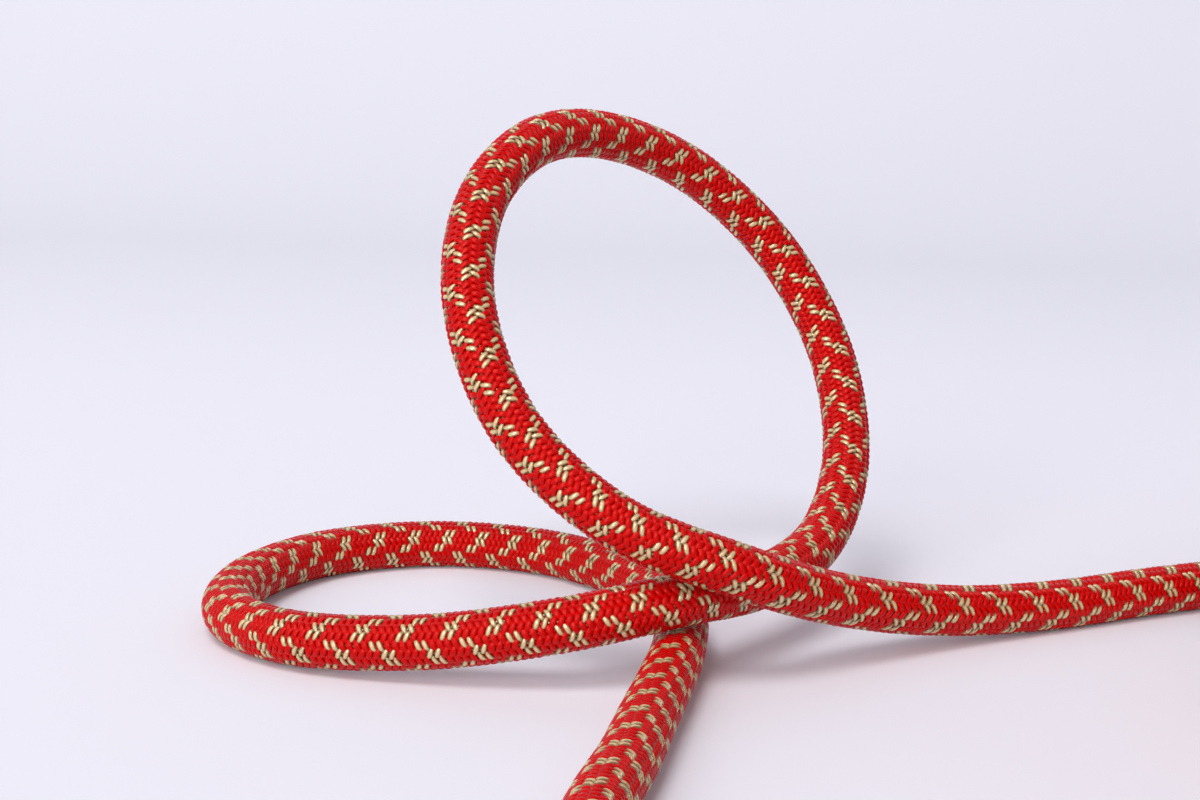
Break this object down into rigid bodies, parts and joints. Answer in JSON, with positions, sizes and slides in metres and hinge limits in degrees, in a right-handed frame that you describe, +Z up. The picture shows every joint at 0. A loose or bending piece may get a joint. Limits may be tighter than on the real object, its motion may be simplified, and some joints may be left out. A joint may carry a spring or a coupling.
{
  "type": "dynamic climbing rope",
  "caption": "Kernmantle dynamic climbing rope with a red sheath and tan tracers, lying in a low loop and a tall standing loop, the rest wound in a tied round coil.",
  "frame": {"origin": "middle of the whole footprint, on the surface that the rope lies on", "axes": "+Z up; +X to the right in the picture, from the loops towards the coil; +Y away from the camera"},
  "size_m": [0.4162, 0.2274, 0.1073],
  "materials": {
    "sheath": "braided polyamide yarns, satin, red with tan tracer yarns",
    "core_strand": "twisted white polyamide yarn, satin",
    "marker_thread": "thin blue thread, matte",
    "end_sleeve": "black heat-shrink sleeve, soft satin",
    "fused_tip": "sheath and core fused by a hot knife, dark and slightly glossy",
    "coil_tie": "black woven hook-and-loop strap, matte"
  },
  "bodies": {
    "root": {"woven_sheath": "sheath", "core_strand_01": "core_strand", "core_strand_02": "core_strand", "core_strand_03": "core_strand", "core_strand_04": "core_strand", "core_strand_05": "core_strand", "core_strand_06": "core_strand", "core_strand_07": "core_strand", "core_strand_08": "core_strand", "core_strand_09": "core_strand", "core_strand_10": "core_strand", "core_strand_11": "core_strand", "core_strand_12": "core_strand", "marker_thread": "marker_thread", "coil_outer_turns": "sheath", "coil_inner_turns": "sheath", "near_end_sleeve": "end_sleeve", "near_end_tip": "fused_tip", "far_end_sleeve": "end_sleeve", "far_end_tip": "fused_tip", "coil_tie_1": "coil_tie", "coil_tie_2": "coil_tie", "coil_tie_3": "coil_tie"}
  },
  "joints": []
}
